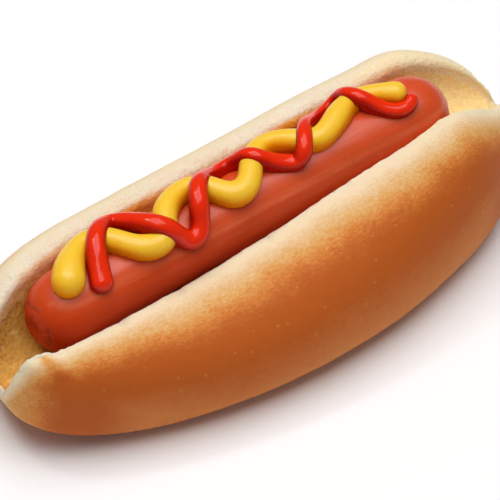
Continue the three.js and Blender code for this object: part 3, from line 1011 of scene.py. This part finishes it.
def bead_stop(stop, height, sausage):
    """A stop of a route as a point in space, with its share of the radius in fourth place."""
    along, degrees, lift, share = stop
    turn = math.radians(degrees)
    centre = sausage_axis(along * MM, sausage)
    reach = sausage.radius + (height + lift) * MM
    return Vector((centre.x, centre.y - reach * math.sin(turn), centre.z + reach * math.cos(turn), share))


def line_point(stops, u):
    """A point of the smooth line drawn along the stops, from the first at 0 to the last at 1."""
    spans = len(stops) - 3
    along = u * spans
    span = min(int(along), spans - 1)
    near = [stops[span + i].copy() for i in range(4)]
    for level in (1, 2, 3):
        for i in range(3, level - 1, -1):
            low = min(max(span + i - 3, 0), spans)
            high = min(max(span + i + 1 - level, 0), spans)
            near[i] = near[i - 1].lerp(near[i], (along - low) / (high - low))
    return near[3]


def make_bead(route, radius, height, sausage, ring_gap, spread=1.0, sides=28):
    """A round-ended bead along a route, spread times wider than high, and a dict from each of its
    points to the way up off the frankfurter."""
    stops = [bead_stop(stop, height, sausage) for stop in route]
    line = [line_point(stops, i / LINE_STEPS) for i in range(LINE_STEPS + 1)]
    lengths = [0.0]
    for a, b in zip(line, line[1:]):
        lengths.append(lengths[-1] + (b.xyz - a.xyz).length)
    total = lengths[-1]
    places = ring_places(total, radius, 8, round(total / ring_gap))
    rings = []
    for length in places:
        i = min(LINE_STEPS - 1, max(1, bisect.bisect(lengths, length)))
        spot = line[i - 1].lerp(line[i], (length - lengths[i - 1]) / (lengths[i] - lengths[i - 1]))
        centre = spot.xyz
        ahead = (line[min(LINE_STEPS, i + 4)].xyz - line[max(0, i - 5)].xyz).normalized()
        axis = sausage_axis(centre.x - SAUSAGE_X, sausage)
        outward = Vector((0, centre.y - axis.y, centre.z - axis.z)).normalized()
        across = outward.cross(ahead).normalized() * spread
        upright = ahead.cross(across).normalized()
        from_end = clamp01(min(length, total - length) / (radius * spot.w))
        round_end = math.sqrt(1 - (1 - from_end) ** 2)
        reach = radius * spot.w * round_end * (1 + 0.05 * rough(centre, 5 * MM, 21))
        rings.append((centre, across, upright, reach, outward))

    def place(ring, side, rim):
        centre, across, upright, reach, _ = rings[ring]
        angle = math.tau * side / sides
        return centre + (across * math.cos(angle) + upright * math.sin(angle)) * reach * rim

    bm, where = formed(sides, len(rings), place, layers=("crest",))
    crest = bm.verts.layers.float["crest"]
    upward = {vert: rings[ring][4] for vert, (ring, _, _) in where.items()}
    for vert, outward in upward.items():
        vert[crest] = vert.normal.dot(outward)
    return bm, upward


def keep_out(vert, neighbours):
    """Moves a bead's point that lies inside a neighbour out onto its surface."""
    for tree in neighbours:
        spot, normal, _, _ = tree.find_nearest(vert.co)
        if (vert.co - spot).dot(normal) < CLEARANCE:
            vert.co = spot + normal * CLEARANCE


def settle(bm, upward, neighbours, skirt):
    """Rests a bead on its neighbours: nothing of it is left inside them, and its underside is drawn
    down onto what lies within skirt below it."""
    for _ in range(3):
        for vert, outward in upward.items():
            below = vert.normal.dot(outward)
            if below < 0.1:
                hits = [tree.ray_cast(vert.co, -outward, skirt)[3] for tree in neighbours]
                drop = min((hit for hit in hits if hit is not None), default=skirt)
                pull = ease((0.1 - below) / 0.7) * ease((skirt - drop) / (0.4 * skirt))
                vert.co -= outward * max(0.0, drop - CLEARANCE) * pull
            keep_out(vert, neighbours)
        bmesh.ops.smooth_vert(
            bm, verts=bm.verts, factor=0.25, use_axis_x=True, use_axis_y=True, use_axis_z=True
        )
    for vert in bm.verts:
        keep_out(vert, neighbours)
    bm.normal_update()


# ---------------------------- stage

# Square lamps, each aimed at the middle of the floor: name, side and place.
LAMPS = (("softbox", 1, (0, 0, 1.05)), ("spark", 0.13, (-0.25, 0.45, 0.95)))
CAMERA_FIELD = math.radians(7.15)
CAMERA_TURN = math.radians(-36)
CAMERA_TILT = math.radians(47)
CAMERA_AIM = Vector((-6.27, -2.73, 26.18)) * MM
FLOOR_RADIUS = 4


def make_floor(stage):
    """A wide pale floor with faint uneven shades."""
    bm = bmesh.new()
    bmesh.ops.create_circle(bm, cap_ends=True, segments=64, radius=FLOOR_RADIUS)
    material, tree, shader, place = new_material("floor_paint", Roughness=0.9, Specular_IOR_Level=0.1)
    shade = faded(tree, mottled(tree, place, 8, 0.5), -1, 1)
    dimmer = tuple(part * 0.985 for part in stage.floor)
    tree.links.new(blend(tree, shade, stage.floor, dimmer), shader.inputs["Base Color"])
    floor = to_mesh_object(bm, "floor", material)


def make_lights(stage, scene):
    """The lamps, and an even light from all round."""
    for name, side, spot in LAMPS:
        lamp = bpy.data.lights.new(name, "AREA")
        lamp.shape = "SQUARE"
        lamp.size = side
        lamp.energy = getattr(stage, name)
        light = to_object(name, lamp)
        light.location = spot
        light.rotation_euler = light.location.to_track_quat("Z", "Y").to_euler()
    world = scene.world or bpy.data.worlds.new("surroundings")
    scene.world = world
    world.use_nodes = True
    background = world.node_tree.nodes["Background"]
    background.inputs["Color"].default_value = (1, 1, 1, 1)
    background.inputs["Strength"].default_value = stage.fill


def make_camera(stage, scene):
    """The camera, turned round the hot dog and tilted down at it."""
    lens = bpy.data.cameras.new("camera")
    lens.angle = CAMERA_FIELD
    lens.clip_start = 0.05
    camera = to_object("camera", lens)
    ahead = Vector((
        -math.sin(CAMERA_TURN) * math.cos(CAMERA_TILT),
        math.cos(CAMERA_TURN) * math.cos(CAMERA_TILT),
        -math.sin(CAMERA_TILT),
    ))
    camera.location = CAMERA_AIM - ahead * stage.distance
    camera.rotation_euler = ahead.to_track_quat("-Z", "Y").to_euler()
    scene.camera = camera


# ---------------------------- operators


class HOTDOG_OT_frankfurter(bpy.types.Operator):
    """Make the frankfurter"""

    bl_idname = "hot_dog.frankfurter"
    bl_label = "Frankfurter"

    def execute(self, context):
        sausage = context.scene.hot_dog_frankfurter
        skin = frankfurter_material(sausage)
        to_piece(make_frankfurter(sausage), "frankfurter", skin, "sausage")
        return {"FINISHED"}


class HOTDOG_OT_bun(bpy.types.Operator):
    """Make the bun"""

    bl_idname = "hot_dog.bun"
    bl_label = "Bun"

    def execute(self, context):
        bun = context.scene.hot_dog_bun
        bread = make_bun(bun, context.scene.hot_dog_frankfurter)
        to_piece(bread, "split_bun", bread_material(bun), "bun")
        return {"FINISHED"}


class HOTDOG_OT_sauces(bpy.types.Operator):
    """Make the mustard and the ketchup, which rest on the frankfurter"""

    bl_idname = "hot_dog.sauces"
    bl_label = "Mustard and ketchup"

    def execute(self, context):
        sauces = context.scene.hot_dog_sauces
        sausage = context.scene.hot_dog_frankfurter
        frankfurter = bpy.data.objects.get("frankfurter")
        if frankfurter is None:
            raise RuntimeError("make the frankfurter first: the sauces rest on it")
        under = bmesh.new()
        under.from_mesh(frankfurter.data)
        skin_tree = BVHTree.FromBMesh(under)
        under.free()
        mustard, upward = make_bead(MUSTARD_ROUTE, sauces.mustard_radius, MUSTARD_HEIGHT, sausage, 0.4 * MM)
        settle(mustard, upward, [skin_tree], 1 * MM)
        mustard_tree = BVHTree.FromBMesh(mustard)
        to_piece(mustard, "mustard_bead", mustard_material(sauces), "mustard")
        ketchup, upward = make_bead(
            KETCHUP_ROUTE, sauces.ketchup_radius, KETCHUP_HEIGHT, sausage, 0.3 * MM, sauces.ketchup_spread
        )
        settle(ketchup, upward, [skin_tree, mustard_tree], 2.2 * MM)
        to_piece(ketchup, "ketchup_bead", ketchup_material(sauces), "ketchup")
        return {"FINISHED"}


class HOTDOG_OT_stage(bpy.types.Operator):
    """Make the floor, the light and the camera"""

    bl_idname = "hot_dog.stage"
    bl_label = "Stage"

    def execute(self, context):
        scene = context.scene
        scene.view_settings.view_transform = "Standard"
        make_floor(scene.hot_dog_stage)
        make_lights(scene.hot_dog_stage, scene)
        make_camera(scene.hot_dog_stage, scene)
        return {"FINISHED"}


# ---------------------------- panel


class HOTDOG_PT_panel(bpy.types.Panel):
    """Lists the operators and the settings that they use"""

    bl_label = "Hot dog"
    bl_idname = "HOTDOG_PT_panel"
    bl_space_type = "VIEW_3D"
    bl_region_type = "UI"
    bl_category = "Hot dog"

    def draw(self, context):
        for operator, holder, _ in STEPS:
            box = self.layout.box()
            settings = getattr(context.scene, holder)
            for name in settings.bl_rna.properties.keys():
                if name not in ("rna_type", "name"):
                    box.prop(settings, name)
            box.operator(operator.bl_idname)


# Each operator, and the settings that it reads with their name in the scene.
STEPS = (
    (HOTDOG_OT_stage, "hot_dog_stage", StageSettings),
    (HOTDOG_OT_frankfurter, "hot_dog_frankfurter", FrankfurterSettings),
    (HOTDOG_OT_bun, "hot_dog_bun", BunSettings),
    (HOTDOG_OT_sauces, "hot_dog_sauces", SauceSettings),
)
CLASSES = (*(settings for _, _, settings in STEPS), *(operator for operator, _, _ in STEPS), HOTDOG_PT_panel)


def register():
    for item in CLASSES:
        bpy.utils.register_class(item)
    for _, holder, settings in STEPS:
        setattr(bpy.types.Scene, holder, PointerProperty(type=settings))


def unregister():
    for _, holder, _ in STEPS:
        delattr(bpy.types.Scene, holder)
    for item in reversed(CLASSES):
        bpy.utils.unregister_class(item)


def main():
    """Builds the whole scene."""
    register()
    bpy.ops.hot_dog.stage()
    bpy.ops.hot_dog.frankfurter()
    bpy.ops.hot_dog.bun()
    bpy.ops.hot_dog.sauces()


if __name__ == "__main__":
    main()
